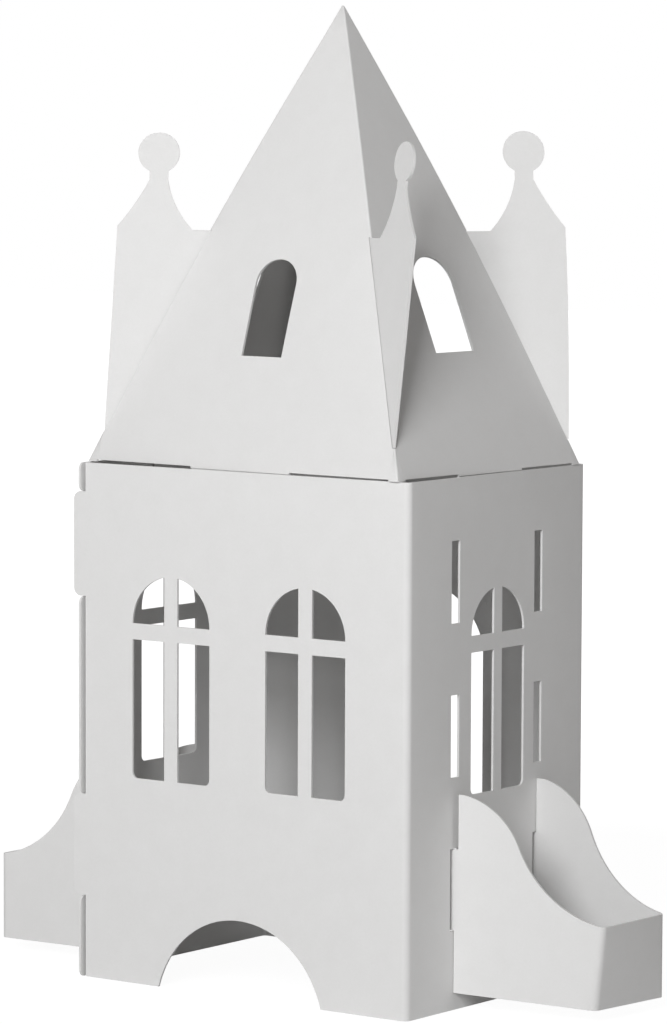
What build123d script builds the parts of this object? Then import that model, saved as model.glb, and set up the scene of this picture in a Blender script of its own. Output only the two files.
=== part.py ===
from build123d import *
import os
from math import atan2, cos, degrees, hypot, radians, sin

# Cardboard castle, cut and folded from thin white board. Millimetres, +Z up.
# The front, with two windows and the low door arch, faces -Y. The origin is on the table,
# under the middle of the whole castle.

# Board
board = 1.2
fold_radius = 3.5
slot_play = 0.25

# Tower walls: one sheet wrapped round, closed by a comb of fingers at the front left corner
tower_width = 200
tower_depth = 150
wall_height = 257.5
finger_out = 4.8
side_finger_out = 3.4
finger_play = 0.3
finger_radius = 4.2
low_finger = (41, 92)
high_finger = (191, 243)

# Windows in the front wall, and the smaller ones in the side walls
front_window_width = 48.1
front_window_height = 101
front_window_sill = 102.6
front_mullion_width = 8.2
front_window_gap = 82.3
front_window_shift = -2.2
side_window_width = 44.8
side_window_height = 99.5
side_window_sill = 103
side_mullion_width = 6.8
window_corner = 3
bar_width = 8

# Doorways
front_door_width = 100
front_door_height = 38
front_door_shift = -1
back_door_width = 79
back_door_height = 193
back_door_arch = 30

# Slots in the side walls. The lowest pair holds a wing.
slot_width = 6.8
slot_height = 40
slot_pitch = 74.4
slot_lowest = 38.6
slot_rows = 3
slot_spread = 70

# The side walls' windows and slots aren't quite in the middle, and less so on the right
right_window_shift, right_slot_shift = -0.4, -1.1
left_window_shift, left_slot_shift = -6.3, -3.6

# Wings: a strip folded to a U, its ends hooked into the lowest slots
wing_length = 80
wing_end_width = 51
wing_foot = 6.5
wing_end_height = 40.5
wing_rise = 58
wing_curve_low = (26, 10.5)
wing_curve_turn = (45, 34.5)
wing_shoulder = 5
wing_gap = 0.3
wing_near_gap = 2.6
wing_tab = 9
wing_fold = 3
wing_slant = 16.5

# Roof: one sheet folded at the four ridges
roof_play = 0.95
roof_height = 226.8
roof_rest = 0.25
roof_twist = -2.3
apex_lean_x = 3
apex_lean_y = 2.3
front_tab_width = 62
side_tab_width = 50
tab_depth = 14
tab_bevel = 4
tab_set_in = 0.6
eave_trim = 1.9
near_eave_trim = 0.8
eave_corner = 6
front_hole_width = 24.5
front_hole_height = 49.4
front_hole_sill = 57.8
side_hole_width = 29
side_hole_height = 49.6
side_hole_sill = 62.6
back_hatch_width = 92
back_hatch_height = 69
back_hatch_sill = 54

# Turret blades in the ridges: the slit's two ends above the eaves, the foot out from the ridge,
# and the ball's centre in from the foot and above the slit
turret_low = 12.2
turret_high = 115
turret_foot_out = 0.25
ball_in = 25.8
ball_rise = 38.9
ball_radius = 10.3
# Neck, flares and shoulders: sizes out from and down from the ball's centre
neck_half = 4.6
neck_drop = 13.5
outer_flare_out, outer_flare_drop = 10.9, 24.3
outer_shoulder_out, outer_shoulder_drop = 20.3, 37
inner_flare_out, inner_flare_drop = 8.5, 26.6
inner_shoulder_out, inner_shoulder_drop = 16.7, 39
hook = 4
hook_depth = 11
near_turret_bend = 14

os.makedirs("parts", exist_ok=True)

# Half sizes of the roof at its eaves, loose inside the walls
half_x = tower_width / 2 - board - roof_play
half_y = tower_depth / 2 - board - roof_play

# Places that the sizes above lead to. The comb stands out in front and the turned roof's
# corner behind, and the origin is midway between them.
front_reach = tower_depth / 2 + side_finger_out
roof_reach = half_y * cos(radians(roof_twist)) + half_x * sin(radians(abs(roof_twist)))
back_reach = max(tower_depth / 2, roof_reach)
tower_y = (front_reach - back_reach) / 2
front_y = tower_y - tower_depth / 2
back_y = tower_y + tower_depth / 2
right_x = tower_width / 2
left_x = -right_x
cut_depth = 3 * board
slots_middle = slot_lowest + slot_height / 2 + slot_pitch * (slot_rows - 1) / 2


def window_panes(width, height, mullion):
    """The four panes of an arched window with a mullion and a bar, its sill on the origin."""
    spring = height - width / 2
    with BuildSketch() as panes:
        with Locations((0, spring / 2)):
            pane = Rectangle(width, spring)
        fillet(pane.vertices().group_by(Axis.Y)[0], window_corner)
        with Locations((0, spring)):
            Circle(width / 2)
        with Locations((0, height / 2)):
            Rectangle(mullion, height + board, mode=Mode.SUBTRACT)
        with Locations((0, spring - bar_width / 2)):
            Rectangle(width + board, bar_width, mode=Mode.SUBTRACT)
    return panes.sketch


def arch(width, height, rise):
    """An arched opening on the origin: straight sides, then one arc of the given rise."""
    half = width / 2
    with BuildSketch() as opening:
        with BuildLine():
            ThreePointArc((-half, height - rise), (0, height), (half, height - rise))
            if height > rise:
                Polyline((half, height - rise), (half, 0), (-half, 0), (-half, height - rise))
            else:
                Line((half, 0), (-half, 0))
        make_face()
    return opening.sketch


# Tower walls
corner_cut = fold_radius + board
with BuildPart() as tower_walls:
    with BuildSketch():
        with Locations((0, tower_y)):
            RectangleRounded(tower_width, tower_depth, fold_radius)
            RectangleRounded(
                tower_width - 2 * board, tower_depth - 2 * board, fold_radius - board, mode=Mode.SUBTRACT
            )
        with Locations((left_x, front_y)):
            Rectangle(2 * corner_cut, 2 * corner_cut, mode=Mode.SUBTRACT)
        with Locations((left_x, front_y - side_finger_out)):
            Rectangle(board, side_finger_out + corner_cut, align=Align.MIN)
        with Locations((left_x + board + finger_play, front_y)):
            Rectangle(corner_cut - board - finger_play, board, align=Align.MIN)
    extrude(amount=wall_height)
    # Gaps between the left wall's fingers, where the front wall's fingers pass
    with BuildSketch(Plane.YZ.offset(left_x - board)):
        for low, high in (low_finger, high_finger):
            with Locations((front_y + board + finger_play, (low + high) / 2)):
                gap_height = high - low + 2 * finger_play
                Rectangle(side_finger_out + cut_depth, gap_height, align=(Align.MAX, Align.CENTER))
    extrude(amount=cut_depth, mode=Mode.SUBTRACT)
    fillet(tower_walls.edges().filter_by(Axis.X).group_by(Axis.Y)[0], finger_radius)
    # The front wall's own fingers
    with BuildSketch(Plane.XZ.offset(-front_y)):
        for low, high in (low_finger, high_finger):
            with Locations((left_x - finger_out, (low + high) / 2)):
                finger = Rectangle(finger_out + corner_cut, high - low, align=(Align.MIN, Align.CENTER))
            fillet(finger.vertices().group_by(Axis.X)[0], finger_radius)
    extrude(amount=-board)
    # Front windows and door arch
    with BuildSketch(Plane.XZ.offset(board - front_y)):
        with Locations((front_window_shift, front_window_sill)):
            with GridLocations(front_window_gap, 1, 2, 1):
                add(window_panes(front_window_width, front_window_height, front_mullion_width))
        with Locations((front_door_shift, 0)):
            add(arch(front_door_width, front_door_height, front_door_height))
    extrude(amount=-cut_depth, mode=Mode.SUBTRACT)
    # Back doorway
    with BuildSketch(Plane.XZ.offset(-back_y - board)):
        add(arch(back_door_width, back_door_height, back_door_arch))
    extrude(amount=cut_depth, mode=Mode.SUBTRACT)
    # Side windows and slots
    for outside, inward, window_shift, slot_shift in (
        (right_x + board, -cut_depth, right_window_shift, right_slot_shift),
        (left_x - board, cut_depth, left_window_shift, left_slot_shift),
    ):
        with BuildSketch(Plane.YZ.offset(outside)):
            with Locations((tower_y + window_shift, side_window_sill)):
                add(window_panes(side_window_width, side_window_height, side_mullion_width))
            with Locations((tower_y + slot_shift, slots_middle)):
                with GridLocations(slot_spread, slot_pitch, 2, slot_rows):
                    Rectangle(slot_width, slot_height)
        extrude(amount=inward, mode=Mode.SUBTRACT)

tower_walls.part.label = "tower_walls"
export_step(tower_walls.part, "parts/tower_walls.step")


# Roof frame: on the walls' top edges, turned a little on the tower
roof_frame = Plane(
    origin=(0, tower_y, wall_height + roof_rest),
    x_dir=(cos(radians(roof_twist)), sin(radians(roof_twist)), 0),
    z_dir=(0, 0, 1),
)
roof_x = roof_frame.x_dir
roof_y = roof_frame.y_dir
roof_up = roof_frame.z_dir
apex = roof_frame.origin + roof_x * apex_lean_x + roof_y * apex_lean_y + roof_up * roof_height
front_view = Plane(roof_frame.origin, x_dir=roof_x, z_dir=-roof_y)
side_view = Plane(roof_frame.origin, x_dir=roof_y, z_dir=roof_x)
eave_inset_x = board * hypot(half_x, roof_height) / roof_height
eave_inset_y = board * hypot(half_y, roof_height) / roof_height


def roof_block(inset_x, inset_y):
    """A solid four-sided pyramid on the roof frame, each face moved in by its inset at the eaves."""
    base_x = half_x - inset_x
    base_y = half_y - inset_y
    with BuildPart() as block:
        with BuildSketch(front_view):
            with BuildLine():
                Polyline(
                    (-base_x, 0), (base_x, 0), (apex_lean_x, roof_height * base_x / half_x), close=True
                )
            make_face()
        extrude(amount=tower_depth, both=True)
        with BuildSketch(side_view):
            with BuildLine():
                Polyline(
                    (-base_y, 0), (base_y, 0), (apex_lean_y, roof_height * base_y / half_y), close=True
                )
            make_face()
        extrude(amount=tower_width, both=True, mode=Mode.INTERSECT)
    return block.part


def eave_tab(width):
    """A tab under the eaves, its two lower corners bevelled, its upper edge in the roof's sheet."""
    half = width / 2
    with BuildSketch() as tab:
        with BuildLine():
            Polyline(
                (-half, tab_set_in),
                (-half, 0),
                (tab_bevel - half, -tab_depth),
                (half - tab_bevel, -tab_depth),
                (half, 0),
                (half, tab_set_in),
                close=True,
            )
        make_face()
    return tab.sketch


def face_plane(side, along, run):
    """The outer face over one eave: local x runs along the eave, local y up the slope."""
    middle = roof_frame.origin + side * run
    return Plane(middle, x_dir=along, z_dir=along.cross(apex - middle))


# Each roof face: its outward direction, the direction along its eave, the distance out, half the
# eave's length and the tab's width
faces = {
    "front": (-roof_y, roof_x, half_y, half_x, front_tab_width),
    "right": (roof_x, roof_y, half_x, half_y, side_tab_width),
    "back": (roof_y, -roof_x, half_y, half_x, front_tab_width),
    "left": (-roof_x, -roof_y, half_x, half_y, side_tab_width),
}
face_holes = {
    "front": (front_hole_width, front_hole_height, front_hole_sill),
    "right": (side_hole_width, side_hole_height, side_hole_sill),
    "back": (back_hatch_width, back_hatch_height, back_hatch_sill),
    "left": (side_hole_width, side_hole_height, side_hole_sill),
}
corners = {
    "front_left": (-half_x, -half_y, 0),
    "front_right": (half_x, -half_y, near_turret_bend),
    "back_right": (half_x, half_y, 0),
    "back_left": (-half_x, half_y, 0),
}


class Ridge:
    """One ridge seen square on: local x points out from the axis, local y up, from the roof's corner."""

    def __init__(self, corner_x, corner_y):
        foot = roof_frame.origin + roof_x * corner_x + roof_y * corner_y
        inward = Vector(apex.X - foot.X, apex.Y - foot.Y, 0)
        self.run = inward.length
        self.out = -inward.normalized()
        self.plane = Plane(foot, x_dir=self.out, z_dir=self.out.cross(Vector(0, 0, 1)))
        self.slope = degrees(atan2(roof_height, -self.run))
        across_x = abs(self.out.dot(roof_x))
        across_y = abs(self.out.dot(roof_y))
        # How far inside the ridge a blade's full thickness is clear of both roof faces
        self.clear = slot_play + max(
            (eave_inset_x + across_y * board / 2) / across_x,
            (eave_inset_y + across_x * board / 2) / across_y,
        )

    def at(self, height, out=0):
        """A point at a height on the ridge, moved out by a distance."""
        return (out - self.run * height / roof_height, height)

    def along(self, bend):
        """The plane with local x up the ridge, turned about the ridge by the bend."""
        up_ridge = self.plane.x_dir * -self.run + self.plane.y_dir * roof_height
        normal = self.plane.z_dir.rotate(Axis((0, 0, 0), up_ridge), bend)
        return Plane(self.plane.origin, x_dir=up_ridge, z_dir=normal)


with BuildPart() as roof:
    add(roof_block(0, 0))
    add(roof_block(eave_inset_x, eave_inset_y), mode=Mode.SUBTRACT)
    for name, (side, along, run, half_eave, tab_width) in faces.items():
        # Tab folded down inside the wall
        with BuildSketch(Plane(roof_frame.origin + side * (run - tab_set_in), x_dir=along, z_dir=side)):
            add(eave_tab(tab_width))
        extrude(amount=-board)
        # Eave trimmed clear of the wall on both sides of the tab, up to the corner that rests
        trim_length = half_eave - tab_width / 2 - eave_corner
        with BuildSketch(Plane(roof_frame.origin + side * (run + board), x_dir=along, z_dir=side)):
            for direction in (-1, 1):
                at_near_corner = (name, direction) in (("front", 1), ("right", -1))
                trim = near_eave_trim if at_near_corner else eave_trim
                with Locations((direction * (tab_width + trim_length) / 2, 0)):
                    Rectangle(trim_length, 2 * trim)
        extrude(amount=-cut_depth, mode=Mode.SUBTRACT)
        # Arched opening in the face
        width, height, sill = face_holes[name]
        with BuildSketch(face_plane(side, along, run).offset(board)):
            with Locations((0, sill)):
                add(arch(width, height, width / 2))
        extrude(amount=-cut_depth, mode=Mode.SUBTRACT)
    # Slits in the ridges for the turrets
    for corner_x, corner_y, bend in corners.values():
        ridge = Ridge(corner_x, corner_y)
        deep = ridge.clear + board
        with BuildSketch(ridge.plane):
            with BuildLine():
                Polyline(
                    ridge.at(turret_low, board),
                    ridge.at(turret_high, board),
                    ridge.at(turret_high, -deep),
                    ridge.at(turret_low, -deep),
                    close=True,
                )
            make_face()
        extrude(amount=board / 2 + slot_play, both=True, mode=Mode.SUBTRACT)

roof.part.label = "roof"
export_step(roof.part, "parts/roof.step")


def turret_blade(corner_x, corner_y, bend):
    """One turret: the shaped blade outside its ridge, bent at the ridge, and the hooks inside."""
    ridge = Ridge(corner_x, corner_y)
    low = turret_low + slot_play
    high = turret_high - slot_play
    foot_x = ridge.at(low, turret_foot_out)[0]
    ball_x = foot_x - ball_in
    ball_y = turret_high + ball_rise

    def from_ball(out, drop):
        return (ball_x + out, ball_y - drop)

    with BuildSketch() as blade:
        with BuildLine():
            outer_flare = ThreePointArc(
                from_ball(outer_shoulder_out, outer_shoulder_drop),
                from_ball(outer_flare_out, outer_flare_drop),
                from_ball(neck_half, neck_drop),
            )
            inner_flare = ThreePointArc(
                from_ball(-neck_half, neck_drop),
                from_ball(-inner_flare_out, inner_flare_drop),
                from_ball(-inner_shoulder_out, inner_shoulder_drop),
            )
            Polyline(outer_flare @ 1, from_ball(neck_half, 0), from_ball(-neck_half, 0), inner_flare @ 0)
            Polyline(
                inner_flare @ 1,
                ridge.at(high),
                ridge.at(low),
                (foot_x, low),
                outer_flare @ 0,
            )
        make_face()
        with Locations((ball_x, ball_y)):
            Circle(ball_radius)
    with BuildPart() as turret:
        with BuildSketch(ridge.along(bend)):
            add(blade.sketch, rotation=-ridge.slope)
        extrude(amount=board / 2, both=True)
        with BuildSketch(ridge.plane):
            with BuildLine():
                Polyline(
                    ridge.at(low),
                    ridge.at(high),
                    ridge.at(high, -ridge.clear),
                    ridge.at(high + hook, -ridge.clear),
                    ridge.at(high + hook, -hook_depth),
                    ridge.at(low - hook, -hook_depth),
                    ridge.at(low - hook, -ridge.clear),
                    ridge.at(low, -ridge.clear),
                    close=True,
                )
            make_face()
        extrude(amount=board / 2, both=True)
    return turret


for place, (corner_x, corner_y, bend) in corners.items():
    turret = turret_blade(corner_x, corner_y, bend)
    turret.part.label = "turret_" + place
    export_step(turret.part, "parts/turret_" + place + ".step")


def folded_wing(side, root_shift, slant):
    """A wing on the right (side 1) or left (side -1) wall. The root shift moves its slots' end
    along the wall, and the slant moves its end panel forward."""
    wall = side * right_x
    end_x = wall + side * wing_length
    inward = board + wing_tab
    tab_x = wall - side * inward
    near_root = tower_y + root_shift - slot_spread / 2
    far_root = tower_y + root_shift + slot_spread / 2
    near_end = tower_y - slant - wing_end_width / 2
    far_end = tower_y - slant + wing_end_width / 2
    near_tab = near_root - (near_end - near_root) * inward / wing_length
    far_tab = far_root - (far_end - far_root) * inward / wing_length
    end_top = wing_foot + wing_end_height
    top = end_top + wing_rise
    tab_low = slot_lowest + finger_play
    tab_high = slot_lowest + slot_height - finger_play
    low_out, low_up = wing_curve_low
    turn_out, turn_up = wing_curve_turn
    panel_view = Plane(origin=(wall, 0, 0), x_dir=(side, 0, 0), z_dir=(0, -side, 0))
    with BuildPart() as wing:
        with BuildSketch(Plane.XY.offset(wing_foot)):
            with BuildLine():
                FilletPolyline(
                    (tab_x, near_tab),
                    (end_x, near_end),
                    (end_x, far_end),
                    (tab_x, far_tab),
                    radius=wing_fold,
                )
            trace(line_width=board)
        extrude(amount=top - wing_foot)
        # What the side view keeps: the panel with its curved top edge, and the tab in the slot
        with BuildSketch(panel_view):
            with BuildLine():
                curve = ThreePointArc(
                    (wing_length, end_top),
                    (wing_length - low_out, end_top + low_up),
                    (wing_length - turn_out, end_top + turn_up),
                )
                upper = TangentArc(curve @ 1, (wing_shoulder, top), tangent=curve % 1)
                Polyline(
                    upper @ 1,
                    (wing_gap, top),
                    (wing_gap, tab_high),
                    (-inward - board, tab_high),
                    (-inward - board, tab_low),
                    (wing_gap, tab_low),
                    (wing_gap, wing_foot),
                    (wing_length + board, wing_foot),
                    (wing_length + board, end_top),
                    curve @ 0,
                )
            make_face()
        extrude(amount=tower_depth, both=True, mode=Mode.INTERSECT)
        # The near panel stands off the wall above its tab
        with BuildSketch(panel_view):
            with Locations((0, tab_high)):
                Rectangle(wing_near_gap, top - slot_lowest, align=Align.MIN)
        extrude(amount=side * tower_depth, mode=Mode.SUBTRACT)
    return wing


wing_right = folded_wing(1, right_slot_shift, 0)
wing_right.part.label = "wing_right"
export_step(wing_right.part, "parts/wing_right.step")

wing_left = folded_wing(-1, left_slot_shift, wing_slant)
wing_left.part.label = "wing_left"
export_step(wing_left.part, "parts/wing_left.step")
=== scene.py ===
# %% [markdown]
# # A white cardboard castle
#
# The castle is cut and folded from thin white board. Its eight sheets come from the packed
# model, which already has every window, slot, tab and fold. What is left for Blender is what
# makes it read as board: softened cut edges, a smooth turn at each fold, sheets that are never
# quite flat, and a surface of pressed fibres.
#
# The frame is loaded first. Everything below is in metres, and +Z is up.

# %% Load the frame
import math
from functools import partial

import bpy
import bmesh
import numpy as np
from mathutils import Matrix, Vector


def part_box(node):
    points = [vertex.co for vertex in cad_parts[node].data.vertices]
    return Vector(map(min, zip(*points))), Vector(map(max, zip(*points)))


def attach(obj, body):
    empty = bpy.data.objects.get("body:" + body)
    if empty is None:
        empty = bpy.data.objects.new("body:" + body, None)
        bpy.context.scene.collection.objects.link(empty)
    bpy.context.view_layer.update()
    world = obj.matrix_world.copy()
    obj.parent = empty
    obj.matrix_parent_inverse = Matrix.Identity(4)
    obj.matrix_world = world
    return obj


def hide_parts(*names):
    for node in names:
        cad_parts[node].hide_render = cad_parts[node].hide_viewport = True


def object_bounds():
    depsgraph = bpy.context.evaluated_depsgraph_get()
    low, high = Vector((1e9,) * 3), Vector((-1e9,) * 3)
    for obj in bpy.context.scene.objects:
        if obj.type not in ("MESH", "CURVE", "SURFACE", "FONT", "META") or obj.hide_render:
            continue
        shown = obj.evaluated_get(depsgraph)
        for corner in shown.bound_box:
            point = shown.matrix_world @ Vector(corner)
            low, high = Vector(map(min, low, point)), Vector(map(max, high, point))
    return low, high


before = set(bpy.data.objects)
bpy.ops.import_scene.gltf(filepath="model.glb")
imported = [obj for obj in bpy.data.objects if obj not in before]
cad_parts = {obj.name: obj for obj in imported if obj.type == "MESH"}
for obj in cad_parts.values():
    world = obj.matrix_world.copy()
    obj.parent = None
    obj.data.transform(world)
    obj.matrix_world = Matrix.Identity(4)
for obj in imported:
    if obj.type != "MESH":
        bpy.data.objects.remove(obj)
cad_low, cad_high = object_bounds()
MM = 0.001


def box_of(name):
    """The lowest and the highest corner of a packed sheet's box, as arrays."""
    low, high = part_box(name)
    return np.array(low), np.array(high)


walls_low, walls_high = box_of("tower_walls")
print("castle", len(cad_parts), "sheets,", round((cad_high[2] - cad_low[2]) / MM), "mm high")

# %% [markdown]
# ## Writing a material as a formula
#
# Board needs several patterns laid over one another: clouds of fibre, fine specks, a slow
# swell. As Python expressions they stay readable. One small class wraps a socket, and each
# operator adds the Math node that it stands for. A second class holds the node tree that the
# nodes go to, of a material or of the world.

# %% Shader expressions
class Value:
    """A number that varies over a surface: an output socket with Python's operators."""

    def __init__(self, tree, socket):
        self.tree = tree
        self.socket = socket

    def math(self, operation, other):
        """The result of one Math node on this value and another value or number."""
        inputs = {0: self.socket, 1: getattr(other, "socket", other)}
        node = self.tree.node("ShaderNodeMath", {"operation": operation}, inputs)
        return Value(self.tree, node.outputs[0])

    def __add__(self, other):
        return self.math("ADD", other)

    def __mul__(self, other):
        return self.math("MULTIPLY", other)

    def __sub__(self, other):
        return self.math("SUBTRACT", other)

    def __rsub__(self, other):
        return self.math("MULTIPLY", -1.0) + other

    __radd__ = __add__
    __rmul__ = __mul__


class Finish:
    """The node tree of a new material or world, started empty, and a method that adds any node."""

    def __init__(self, owner):
        self.owner = owner
        owner.use_nodes = True
        self.nodes = owner.node_tree.nodes
        self.links = owner.node_tree.links
        self.nodes.clear()

    def node(self, kind, settings=None, inputs=None):
        """Adds a node of this type: first its settings, then its sockets' numbers or links."""
        node = self.nodes.new(kind)
        for key, value in (settings or {}).items():
            setattr(node, key, value)
        for key, value in (inputs or {}).items():
            if isinstance(value, bpy.types.NodeSocket):
                self.links.new(value, node.inputs[key])
            else:
                node.inputs[key].default_value = value
        return node

    def place(self):
        """The point on the object, in metres, which stays with the sheet from every side."""
        return self.node("ShaderNodeTexCoord").outputs["Object"]

    def noise(self, size, detail=2.0, roughness=0.5, stretch=(1.0, 1.0, 1.0)):
        """Noise from 0 to 1 whose lumps are about `size` metres across, stretched per axis."""
        scale = tuple(1.0 / (size * factor) for factor in stretch)
        moved = self.node("ShaderNodeMapping", inputs={"Vector": self.place(), "Scale": scale})
        noise = self.node(
            "ShaderNodeTexNoise",
            inputs={"Vector": moved.outputs[0], "Scale": 1.0, "Detail": detail, "Roughness": roughness},
        )
        return Value(self, noise.outputs["Fac"])

    def blend(self, factor, first, second):
        """Mixes two colours by a value, which counts as 0 below 0 and as 1 above 1."""
        mix = self.node(
            "ShaderNodeMix",
            {"data_type": "RGBA", "clamp_factor": True},
            {0: factor.socket, 6: (*first, 1.0), 7: (*second, 1.0)},
        )
        return mix.outputs[2]

    def bump(self, height, distance, strength=1.0, under=None):
        """Turns a height from 0 to 1 into a normal. `distance` is what 1 means, in metres."""
        inputs = {"Height": height.socket, "Distance": distance, "Strength": strength}
        if under is not None:
            inputs["Normal"] = under
        return self.node("ShaderNodeBump", inputs=inputs).outputs[0]

    def surface(self, **inputs):
        """Ends the tree in a Principled surface with these sockets set, and gives the material."""
        shader = self.node("ShaderNodeBsdfPrincipled", inputs=inputs)
        self.node("ShaderNodeOutputMaterial", inputs={"Surface": shader.outputs[0]})
        return self.owner


# %% [markdown]
# ## The board's face
#
# Solid white board is bright but not brilliant: fibres clump into soft clouds about a
# centimetre across, with finer specks over them. It is matt, with the least sheen where the
# sheet was pressed smooth. Sheets that have been cut, folded and handled swell and dip by
# fractions of a millimetre over a hand's width, and a low raking light shows that, so a slow
# bump carries it and a fine one carries the fibres.

# %% Face of the board
def board_face():
    """Clouds and specks mix two whites. A slow swell and fine fibres make up the relief."""
    face = Finish(bpy.data.materials.new("white_board"))
    clouds = face.noise(12 * MM, detail=3.0, roughness=0.6)
    specks = face.noise(1.1 * MM, detail=2.0)
    tone = clouds * 0.7 + specks * 0.5 - 0.1
    colour = face.blend(tone, (0.715, 0.711, 0.705), (0.77, 0.768, 0.765))
    swell = face.noise(110 * MM, detail=1.0)
    dips = face.noise(35 * MM, detail=2.0)
    fibres = face.noise(0.7 * MM, detail=3.0, roughness=0.65, stretch=(1.0, 1.0, 2.2))
    slow = face.bump(swell * 0.8 + dips * 0.2, 1.6 * MM, 0.55)
    normal = face.bump(fibres, 0.06 * MM, 0.6, under=slow)
    roughness = clouds * 0.1 + 0.74
    return face.surface(
        **{"Base Color": colour, "Roughness": roughness.socket, "Normal": normal, "Specular IOR Level": 0.35}
    )


board = board_face()
print("face of the board:", len(board.node_tree.nodes), "nodes")

# %% [markdown]
# ## The cut edge
#
# A blade leaves the middle of the board open: a shade greyer than the face, rougher, and
# uneven. The edge is only 1.2 mm wide, so fine specks of half a millimetre are enough.

# %% Cut edge of the board
def board_cut():
    """Specks mix two greyer whites and roughen the edge."""
    cut = Finish(bpy.data.materials.new("white_board_cut"))
    specks = cut.noise(0.5 * MM, detail=2.0)
    colour = cut.blend(specks, (0.6, 0.59, 0.575), (0.72, 0.715, 0.705))
    normal = cut.bump(specks, 0.12 * MM, 0.8)
    return cut.surface(
        **{"Base Color": colour, "Roughness": 0.9, "Normal": normal, "Specular IOR Level": 0.2}
    )


board_edge = board_cut()
print("cut edge of the board:", len(board_edge.node_tree.nodes), "nodes")

# %% [markdown]
# ## Finding the cut edges
#
# A packed sheet's own mesh stays as it is, so each sheet is dressed on a copy. On the copy,
# flat neighbours are grouped: a group that is long but only as wide as the board is thick is a
# cut edge and gets that finish. Twice the area over the perimeter is close to the width of such
# a strip. Turns under 35 degrees, which are the facets of the folds, don't end a group.

# %% Group faces and find the cut edges
board_thickness = 1.2 * MM
cut_strip = 1.6 * board_thickness
fold_turn = math.radians(35)


def flat_groups(mesh):
    """Faces joined across edges that turn less than a cut corner does, as lists."""
    waiting = set(mesh.faces)
    groups = []
    while waiting:
        front = [waiting.pop()]
        group = []
        while front:
            face = front.pop()
            group.append(face)
            for edge in face.edges:
                if len(edge.link_faces) == 2 and edge.calc_face_angle(0.0) < fold_turn:
                    for other in edge.link_faces:
                        if other in waiting:
                            waiting.remove(other)
                            front.append(other)
        groups.append(group)
    return groups


def strip_width(group):
    """Twice the area over the perimeter: close to the width of a long strip."""
    inside = set(group)
    area = sum(face.calc_area() for face in group)
    border = sum(
        edge.calc_length()
        for face in group
        for edge in face.edges
        if any(other not in inside for other in edge.link_faces)
    )
    return 2 * area / border if border else math.inf


def mark_cuts(mesh):
    """Gives the faces of cut edges the second material, and counts the edges."""
    count = 0
    for group in flat_groups(mesh):
        is_cut = strip_width(group) < cut_strip
        for face in group:
            face.material_index = int(is_cut)
            face.smooth = True
        count += is_cut
    return count


# %% [markdown]
# ## The folds and the bulge of the roof
#
# The roof is one sheet with four creased ridges. Board doesn't crease to a line: each ridge
# turns over a few millimetres, which a bevel with several segments gives. The folds also push
# back, so every face and ridge bows out between the eaves and the peak. The turrets on the
# right stand in their ridges and go out with them, while those on the left sit deeper in theirs.
# Level cuts first give the tall flat faces something to bend at.

# %% Round the ridges and bow the roof
roof_low, roof_high = box_of("roof")
eaves = walls_high[2]
roof_rise = roof_high[2] - eaves
half_eaves = (roof_high[:2] - roof_low[:2]) / 2
ridge_turn = 2.2 * MM
ridge_steps = 4
ridge_climb = 4 * MM
ridge_angles = (math.radians(78), math.radians(88))
bow = 2.6 * MM
bow_cuts = 14
bow_tip = 0.02
bowed = ("roof", "turret_front_right", "turret_back_right")


def is_ridge(edge):
    """Whether an edge runs up a ridge: it climbs, and its faces turn as far as the roof folds."""
    climb = abs(edge.verts[0].co.z - edge.verts[1].co.z)
    return climb > ridge_climb and ridge_angles[0] < edge.calc_face_angle(0.0) < ridge_angles[1]


def round_ridges(mesh):
    """Replaces each ridge by a round strip that starts `ridge_turn` to either side of it."""
    ridges = [edge for edge in mesh.edges if is_ridge(edge)]
    bmesh.ops.bevel(
        mesh,
        geom=ridges,
        offset=ridge_turn,
        segments=ridge_steps,
        profile=0.5,
        affect="EDGES",
        clamp_overlap=True,
    )
    print(len(ridges), "ridge edges rounded")


def level_cuts(mesh):
    """Cuts every face at evenly spaced heights between the eaves and the peak."""
    for height in np.linspace(eaves, roof_high[2], bow_cuts + 2)[1:-1]:
        geometry = mesh.verts[:] + mesh.edges[:] + mesh.faces[:]
        bmesh.ops.bisect_plane(mesh, geom=geometry, plane_co=(0, 0, height), plane_no=(0, 0, 1))


def bow_out(points):
    """Moves points out from the roof's axis by the bow times a half sine of their height.

    Across the roof, the shift grows evenly from none at the axis to all of it at the sheet. The
    tip, where the roof has hardly any width left, counts as `bow_tip` of the eaves' width.
    """
    rise = np.clip((points[:, 2:] - eaves) / roof_rise, 0, 1)
    share = np.clip(points[:, :2] / (half_eaves * np.maximum(1 - rise, bow_tip)), -1, 1)
    points[:, :2] += bow * np.sin(math.pi * rise) * share


# %% [markdown]
# ## How the roof and its turrets settle
#
# Once it stands, the castle is less exact than its drawing. Between the corners and the tabs,
# the roof's free edges sag towards the walls, so the dark line under them is finer than the
# gap that was cut. A point on the roof slides down its own face if it is moved straight away
# from the peak. The two turrets at the front stand a little shorter than drawn, with the ends
# of their slits to match, and the left one leans inwards. Each point of a blade is slid in the
# blade's own plane, evenly from the shift of its foot to the shift of its top.

# %% Sagging eaves and settled blades
free_eave = 2.15 * MM
eave_sag = 1.0 * MM
slit_ends = (12.45 * MM, 115.25 * MM)
level_slack = 0.1 * MM
settling = {
    "turret_front_left": {
        "foot_in": 1.5 * MM,
        "top_in": 2.9 * MM,
        "foot_up": 2.8 * MM,
        "top_down": 1.5 * MM,
    },
    "turret_front_right": {
        "foot_in": 1.7 * MM,
        "top_in": 1.9 * MM,
        "foot_up": 3.3 * MM,
        "top_down": 3.7 * MM,
    },
}


def corner_of(name):
    """The corner of the castle that a blade stands at, as the signs of x and y."""
    low, high = box_of(name)
    return np.sign(low + high)[:2]


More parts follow.
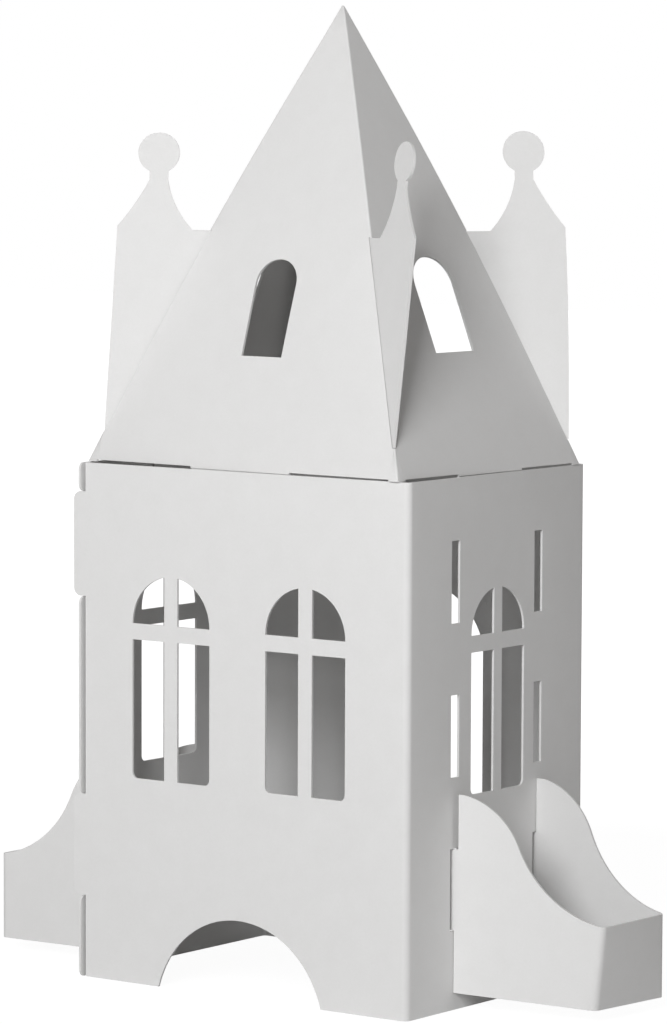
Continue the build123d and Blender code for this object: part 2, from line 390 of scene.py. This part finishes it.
def share_up(height, name):
    """How far up a blade a height is: 0 at its foot and 1 at its top."""
    low, high = box_of(name)
    return (height - low[2]) / (high[2] - low[2])


def rise_at(height, name):
    """How far a blade goes up at a height: evenly from foot_up at its foot to -top_down at its top."""
    share = share_up(height, name)
    return settling[name]["foot_up"] * (1 - share) - settling[name]["top_down"] * share


def settle_blade(points, name):
    """Slides a blade in its plane by a shift that changes evenly from its foot to its top."""
    low, high = box_of(name)
    inwards = -corner_of(name) * (high - low)[:2]
    inwards /= np.linalg.norm(inwards)
    share = share_up(points[:, 2:], name)
    shift = settling[name]["foot_in"] * (1 - share) + settling[name]["top_in"] * share
    points[:, 2:] += rise_at(points[:, 2:], name)
    points[:, :2] += shift * inwards


def settle_roof(points):
    """Slides the free eaves down and the ends of the front slits up or down, each on its own face.

    An offset from the peak that grows by a small share stays on its face.
    """
    peak = points[points[:, 2].argmax()].copy()

    def slide(chosen, down):
        points[chosen] += (points[chosen] - peak) * down / (peak[2] - points[chosen, 2:])

    def at_level(height):
        return np.abs(points[:, 2] - eaves - height) < level_slack

    slide(at_level(free_eave), eave_sag)
    for blade in settling:
        at_corner = (np.sign(points[:, :2]) == corner_of(blade)).all(axis=1)
        for end in slit_ends:
            slide(at_corner & at_level(end), -rise_at(eaves + end, blade))


print(len(settling), "blades settle; the free eaves sag by", round(eave_sag / MM, 2), "mm")

# %% [markdown]
# ## An open comb and two uneven wings
#
# At the comb the notches stand open a little, which shows the dark inside beside each finger,
# and the fingers of the left wall stand out a little less than drawn. The left wing rides
# higher away from the wall. The near fold of the right one leans, so its foot is further in
# than its top. A wing's shift changes evenly from point to point, so its panels stay smooth.

# %% Open comb, raised left wing and leaning right wing
front_finger = 4.8 * MM
side_finger = 3.4 * MM
fold_gap = 0.3 * MM
left_face = walls_low[0] + front_finger
front_face = walls_low[1] + side_finger
comb_slack = 0.05 * MM
comb_open = 1.2 * MM
finger_root = 0.8 * MM
finger_share = 0.7
wing_lift = 3.0 * MM
lift_start = 2.0 * MM
lift_run = 20 * MM
lift_rise = 30 * MM
fold_in = 5.5 * MM
fold_in_top = 0.8 * MM
foot_lift = 2.0 * MM
end_height = 40.5 * MM
end_half = 26 * MM


def open_comb(points):
    """Moves the notches' edges away from the left wall and takes its fingers in a little."""
    inner_face = left_face + board_thickness
    edge = inner_face + fold_gap
    in_front = points[:, 1] < front_face + board_thickness + comb_slack
    notch = in_front & (points[:, 0] > edge - comb_slack) & (points[:, 0] < edge + comb_open)
    points[notch, 0] = edge + comb_open
    root = front_face + finger_root
    in_left = (points[:, 0] > left_face - comb_slack) & (points[:, 0] < inner_face + comb_slack)
    finger = in_left & (points[:, 1] < root)
    points[finger, 1] = root + (points[finger, 1] - root) * finger_share
    print(int(notch.sum()), "points of the notches moved,", int(finger.sum()), "of the fingers")


def raise_wing(points):
    """Lifts the left wing by a share that grows evenly away from the wall and up from its foot."""
    away = np.clip((walls_low[0] + lift_start - points[:, 0]) / lift_run, 0, 1)
    above = np.clip((points[:, 2] - points[:, 2].min()) / lift_rise, 0, 1)
    points[:, 2] += wing_lift * away * above


def lean_wing(points):
    """Shears the right wing's near panel in its own plane, further in towards the foot.

    The shift grows evenly from the wall out and fades across the end panel, and the foot near
    the wall comes up a little.
    """
    low, high = box_of("wing_right")
    out = np.clip((points[:, 0] - walls_high[0]) / (high[0] - walls_high[0]), 0, 1)
    down = np.clip(1 - (points[:, 2] - low[2]) / end_height, 0, 1)
    near = np.clip((end_half - points[:, 1]) / (2 * end_half), 0, 1)
    foot = np.clip(1 - (points[:, 2] - low[2]) / lift_rise, 0, 1)
    points[:, 0] -= (fold_in_top + (fold_in - fold_in_top) * down) * out * near
    points[:, 2] += foot_lift * foot * np.clip(1 - out, 0, 1)


settlers = {
    "roof": settle_roof,
    "tower_walls": open_comb,
    "wing_left": raise_wing,
    "wing_right": lean_wing,
}
settlers |= {name: partial(settle_blade, name=name) for name in settling}
print("sheets that settle:", ", ".join(sorted(settlers)))

# %% [markdown]
# ## One sheet from start to end
#
# Every sheet goes through the same steps. Its copy settles first, while its points are still
# where the drawing puts them. Its loose triangles are then merged, its cut edges found, the
# roof's ridges rounded, and the roof and the right turrets bowed. The facets of the folds are
# shaded smooth. A narrow bevel comes last, as a modifier, and softens the cut corners, as a
# blade and handling do. Its clamp against overlap goes by a sheet's shortest edges, so less than
# the asked width is left: a few hundredths of a millimetre on most sheets, none on the roof.

# %% Dress the sheets
same_point = 0.002 * MM
softened = 0.16 * MM


def add_object(name, data):
    """A new object with this data, linked into the scene."""
    thing = bpy.data.objects.new(name, data)
    bpy.context.scene.collection.objects.link(thing)
    return thing


def reshape(data, move):
    """Lets `move` shift a mesh's points in place, as an array with a row of x, y, z for each."""
    points = np.empty(len(data.vertices) * 3)
    data.vertices.foreach_get("co", points)
    points = points.reshape(-1, 3)
    move(points)
    data.vertices.foreach_set("co", points.ravel())


def dress(name):
    """Makes the dressed copy of a packed sheet, which takes the sheet's place."""
    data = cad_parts[name].data.copy()
    data.name = name + "_board"
    if name in settlers:
        reshape(data, settlers[name])
    mesh = bmesh.new()
    mesh.from_mesh(data)
    bmesh.ops.remove_doubles(mesh, verts=mesh.verts, dist=same_point)
    mesh.normal_update()
    cuts = mark_cuts(mesh)
    if name == "roof":
        round_ridges(mesh)
    if name in bowed:
        level_cuts(mesh)
    mesh.normal_update()
    for edge in mesh.edges:
        edge.smooth = len(edge.link_faces) == 2 and edge.calc_face_angle(0.0) < fold_turn
    mesh.to_mesh(data)
    mesh.free()
    if name in bowed:
        reshape(data, bow_out)
    data.update()
    data.materials.clear()
    data.materials.append(board)
    data.materials.append(board_edge)
    sheet = add_object(name + "_board", data)
    bevel = sheet.modifiers.new("softened edges", "BEVEL")
    bevel.width = softened
    bevel.segments = 2
    bevel.limit_method = "ANGLE"
    bevel.angle_limit = fold_turn
    bevel.harden_normals = True
    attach(sheet, "root")
    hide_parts(name)
    print(name, len(data.polygons), "faces,", cuts, "cut edges")


for name in sorted(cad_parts):
    dress(name)

# %% [markdown]
# ## Floor
#
# The castle was photographed against plain white, with hardly a shadow. The floor is pale and
# wide. The rays that show the background, which are the camera's own and those in gloss or
# through glass, see it mostly as a white glow, with enough of a plain matt surface mixed in to
# keep the shadow where the walls stand. The glow is a little stronger than white, which makes
# up for that matt share. From half a metre out to a metre it grows to all of the floor, so no
# horizon shows. Every other ray meets the matt surface alone.

# %% Floor
floor_reach = 6.0
floor_glow = 1.12
near_glow = 0.85
near_floor, far_floor = 0.5, 1.0


def background_rays(tree):
    """1 for a ray that shows the background: the camera's own, in gloss or through glass."""
    path = tree.node("ShaderNodeLightPath")
    kinds = ("Camera", "Glossy", "Transmission")
    seen, glossy, through = (Value(tree, path.outputs[f"Is {kind} Ray"]) for kind in kinds)
    return (seen + glossy + through).math("MINIMUM", 1.0)


def white_floor():
    """A matt floor mixed with a glow. The glow's share grows evenly with distance, between limits."""
    pale = Finish(bpy.data.materials.new("pale_floor"))
    matt = pale.node("ShaderNodeBsdfDiffuse", inputs={"Color": (0.76, 0.76, 0.76, 1.0)})
    glow = pale.node("ShaderNodeEmission", inputs={"Color": (1.0, 1.0, 1.0, 1.0), "Strength": floor_glow})
    length = pale.node("ShaderNodeVectorMath", {"operation": "LENGTH"}, {0: pale.place()})
    distance = Value(pale, length.outputs["Value"])
    growth = (1.0 - near_glow) / (far_floor - near_floor)
    white = distance * growth + (near_glow - growth * near_floor)
    white = white.math("MAXIMUM", near_glow).math("MINIMUM", 1.0)
    share = background_rays(pale) * white
    mixed = pale.node("ShaderNodeMixShader", inputs={0: share.socket, 1: matt.outputs[0], 2: glow.outputs[0]})
    pale.node("ShaderNodeOutputMaterial", inputs={"Surface": mixed.outputs[0]})
    return pale.owner


floor_mesh = bpy.data.meshes.new("floor")
floor_corners = [(x * floor_reach, y * floor_reach, 0) for x, y in ((-1, -1), (1, -1), (1, 1), (-1, 1))]
floor_mesh.from_pydata(floor_corners, [], [(0, 1, 2, 3)])
floor_mesh.materials.append(white_floor())
floor = add_object("floor", floor_mesh)
print("floor", 2 * floor_reach, "m wide")

# %% [markdown]
# ## The room
#
# Past the floor lies the room. As light it is weak and a little warm, and it comes from all
# round, so the inside of the castle stays dark. As a background it is plain white, for the same
# rays as on the floor.

# %% World
room_light = 0.14
studio = Finish(bpy.data.worlds.new("studio"))
bpy.context.scene.world = studio.owner
room = studio.node("ShaderNodeBackground", inputs={"Color": (1.0, 0.96, 0.925, 1.0), "Strength": room_light})
backdrop = studio.node("ShaderNodeBackground", inputs={"Color": (1.0, 1.0, 1.0, 1.0), "Strength": 1.0})
shown = background_rays(studio).socket
chosen = studio.node("ShaderNodeMixShader", inputs={0: shown, 1: room.outputs[0], 2: backdrop.outputs[0]})
studio.node("ShaderNodeOutputWorld", inputs={"Surface": chosen.outputs[0]})
print("room:", len(studio.nodes), "nodes")

# %% [markdown]
# ## Camera
#
# The castle is seen from its front right corner with a long lens. The place and the lens come
# from matching the corners of the tower, roof and wings in the photograph, and the camera is
# tipped sideways by a fifth of a degree, as a hand-set one is.

# %% Camera
tower_middle = Vector((0.0, (walls_high[1] + walls_low[1] + side_finger) / 2, 0.0))
view_azimuth = math.radians(36.59)
view_distance = 2.4465
view_height = 0.44825
aim_side = 0.00006
aim_height = 0.23311
roll = math.radians(0.21)
focal_length = 174.07
sensor_width = 36.0
view_end = 50.0

camera_data = bpy.data.cameras.new("camera")
camera_data.sensor_width = sensor_width
camera_data.lens = focal_length
camera_data.clip_end = view_end
camera = add_object("camera", camera_data)
offset = Vector((math.sin(view_azimuth), -math.cos(view_azimuth), 0.0)) * view_distance
camera.location = tower_middle + offset + Vector((0.0, 0.0, view_height))
aim = tower_middle + Vector((aim_side, 0.0, aim_height))
facing = (aim - camera.location).to_track_quat("-Z", "Y").to_matrix()
turned = (facing @ Matrix.Rotation(roll, 3, "Z")).to_4x4()
camera.matrix_world = Matrix.Translation(camera.location) @ turned
bpy.context.scene.camera = camera
print("camera", view_distance, "m from the tower's middle,", focal_length, "mm lens")

# %% [markdown]
# ## Light
#
# One large soft light stands a little to the right of the front and well above the castle. The
# front, the turrets and the front of the roof catch it about evenly, and it only grazes the
# right side, which leaves that in half shade. A second, weaker one lights the back from the far
# left. The camera sees only a little of that one, inside the windows. Colours go to the picture
# as they are, by the Standard view.

# %% Lights
castle_middle = Vector((0.0, 0.0, (cad_low[2] + cad_high[2]) / 2))


def soft_light(name, azimuth, height, distance, size, power, tint=(1.0, 1.0, 1.0)):
    """A square area light turned to the castle's middle. Azimuth 0 is in front, 90 at the right."""
    data = bpy.data.lights.new(name, "AREA")
    data.shape = "SQUARE"
    data.size = size
    data.energy = power
    data.color = tint
    lamp = add_object(name, data)
    angle = math.radians(azimuth)
    lamp.location = Vector((math.sin(angle) * distance, -math.cos(angle) * distance, height))
    lamp.rotation_euler = (castle_middle - lamp.location).to_track_quat("-Z", "Y").to_euler()
    print(name, power, "W,", size, "m square")


soft_light(
    "window_light", azimuth=19.5, height=1.2, distance=2.2, size=0.9, power=44.0, tint=(0.99, 0.995, 1.0)
)
soft_light("far_window", azimuth=-150.0, height=1.5, distance=2.2, size=1.2, power=16.0)

bpy.context.scene.view_settings.view_transform = "Standard"
